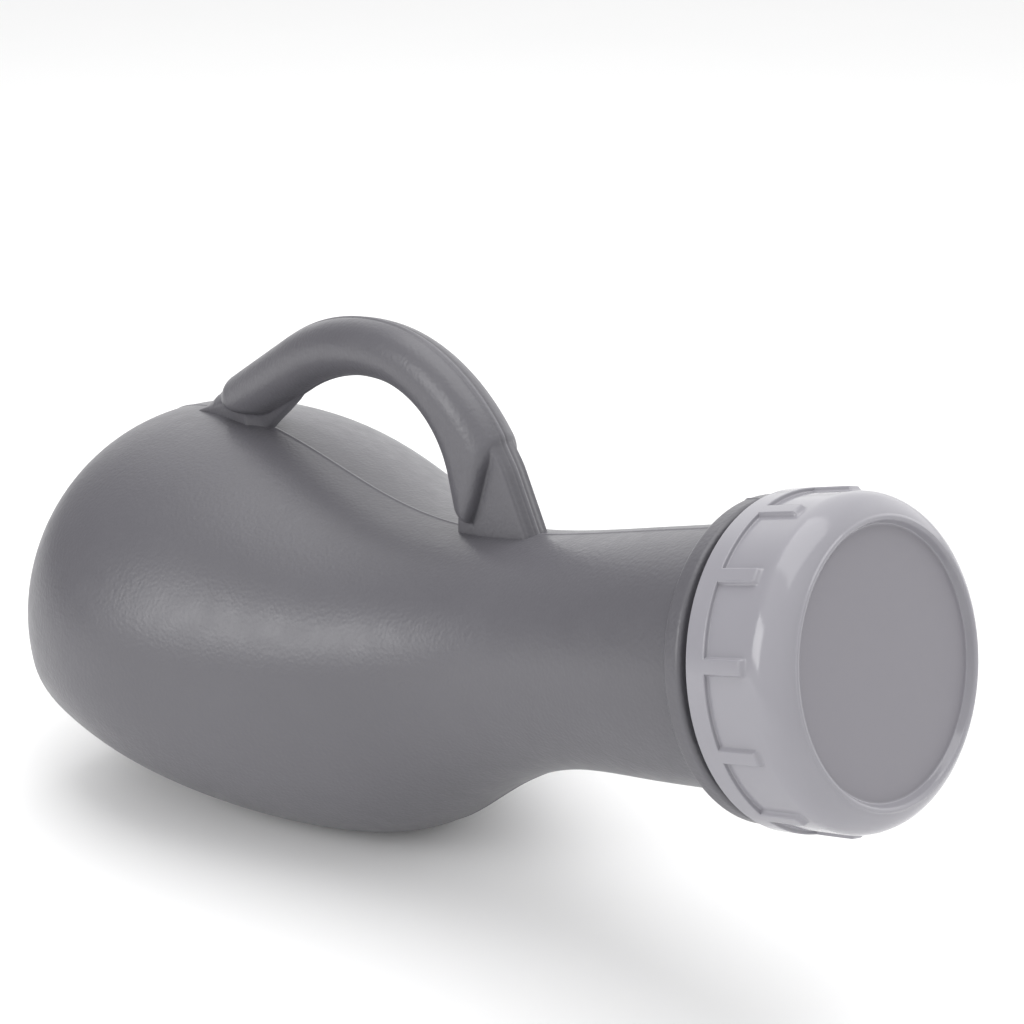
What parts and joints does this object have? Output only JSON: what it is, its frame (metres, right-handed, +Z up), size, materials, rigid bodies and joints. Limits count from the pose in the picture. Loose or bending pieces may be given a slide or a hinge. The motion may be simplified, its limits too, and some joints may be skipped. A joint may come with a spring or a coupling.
{
  "type": "urine bottle",
  "caption": "Wide-mouthed urine bottle lying on its belly, with a rising neck, a hollow grip handle over the shoulder and a ribbed screw cap with a sealing ring.",
  "frame": {"origin": "middle of the flat on the belly that the bottle lies on", "axes": "+Z up, +X towards the cap, +Y to the bottle's left seen from behind it; the bottle is symmetric about y = 0 apart from its thread, and the neck's axis rises 17.3 degrees from +X towards +Z"},
  "size_m": [0.3121, 0.1542, 0.1618],
  "materials": {
    "bottle_plastic": "satin moulded grain",
    "cap_plastic": "semi-gloss",
    "gasket_rubber": "matt"
  },
  "bodies": {
    "bottle": {"bulb": "bottle_plastic", "neck": "bottle_plastic", "neck_finish": "bottle_plastic", "handle": "bottle_plastic"},
    "seal": {"cap_gasket": "gasket_rubber"},
    "cap": {"screw_cap": "cap_plastic"}
  },
  "joints": [
    {"name": "cap_advance", "type": "slide", "parent": "bottle", "child": "seal", "axis": [0.9548, 0, 0.2974], "range_m": [0, 0.024]},
    {"name": "cap_turn", "type": "hinge", "parent": "seal", "child": "cap", "pos_m": [0.203, 0, 0.1145], "axis": [0.9548, 0, 0.2974], "range_deg": [0, 1440]}
  ],
  "couplings": [
    {"joint": "cap_advance", "follows": "cap_turn", "m_per_rad": 0.00095493}
  ]
}
